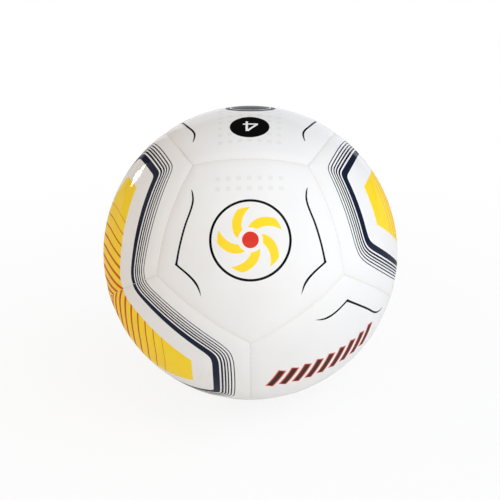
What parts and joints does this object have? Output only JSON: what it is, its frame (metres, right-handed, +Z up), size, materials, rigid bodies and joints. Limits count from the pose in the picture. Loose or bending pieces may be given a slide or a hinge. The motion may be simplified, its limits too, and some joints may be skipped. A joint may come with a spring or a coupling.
{
  "type": "futsal ball",
  "caption": "Round sewn futsal ball: printed five-sided panels on foam and cloth round a low-bounce bladder, with a pull-out valve plug that takes a pump needle.",
  "frame": {"origin": "centre of the ball", "axes": "+Z up through the middle of the top panel, -Y towards the viewer past the lower part of the front panel, +X to the right"},
  "size_m": [0.2006, 0.2006, 0.2004],
  "materials": {
    "white_cover": "white PU synthetic leather, satin gloss, printed",
    "striped_cover": "white PU synthetic leather with yellow fields and navy stripes, satin gloss",
    "panel_foam": "closed-cell EVA foam, matte",
    "panel_backing": "glued polyester and cotton plies",
    "sewing_thread": "waxed polyester thread",
    "bladder_rubber": "moulded butyl rubber",
    "soft_filling": "soft polyester wadding",
    "valve_rubber": "moulded butyl rubber, dull",
    "plug_rubber": "moulded soft rubber, slightly oily",
    "patch_cloth": "woven cotton patch"
  },
  "bodies": {
    "ball": {"cover_top": "white_cover", "cover_front": "white_cover", "cover_right": "striped_cover", "cover_rear_right": "striped_cover", "cover_rear_left": "white_cover", "cover_left": "striped_cover", "cover_low_front_right": "white_cover", "cover_low_right": "striped_cover", "cover_low_rear": "white_cover", "cover_low_left": "striped_cover", "cover_low_front_left": "striped_cover", "cover_bottom": "white_cover", "foam_top": "panel_foam", "foam_front": "panel_foam", "foam_right": "panel_foam", "foam_rear_right": "panel_foam", "foam_rear_left": "panel_foam", "foam_left": "panel_foam", "foam_low_front_right": "panel_foam", "foam_low_right": "panel_foam", "foam_low_rear": "panel_foam", "foam_low_left": "panel_foam", "foam_low_front_left": "panel_foam", "foam_bottom": "panel_foam", "backing_top": "panel_backing", "backing_front": "panel_backing", "backing_right": "panel_backing", "backing_rear_right": "panel_backing", "backing_rear_left": "panel_backing", "backing_left": "panel_backing", "backing_low_front_right": "panel_backing", "backing_low_right": "panel_backing", "backing_low_rear": "panel_backing", "backing_low_left": "panel_backing", "backing_low_front_left": "panel_backing", "backing_bottom": "panel_backing", "seam_thread": "sewing_thread", "bladder": "bladder_rubber", "bladder_filling": "soft_filling", "valve_housing": "valve_rubber", "valve_patch": "patch_cloth"},
    "valve_plug": {"valve_plug": "plug_rubber"}
  },
  "joints": [
    {"name": "valve_plug_pull", "type": "slide", "parent": "ball", "child": "valve_plug", "axis": [-0.5257, 0.7236, 0.4472], "range_m": [0, 0.018]}
  ]
}
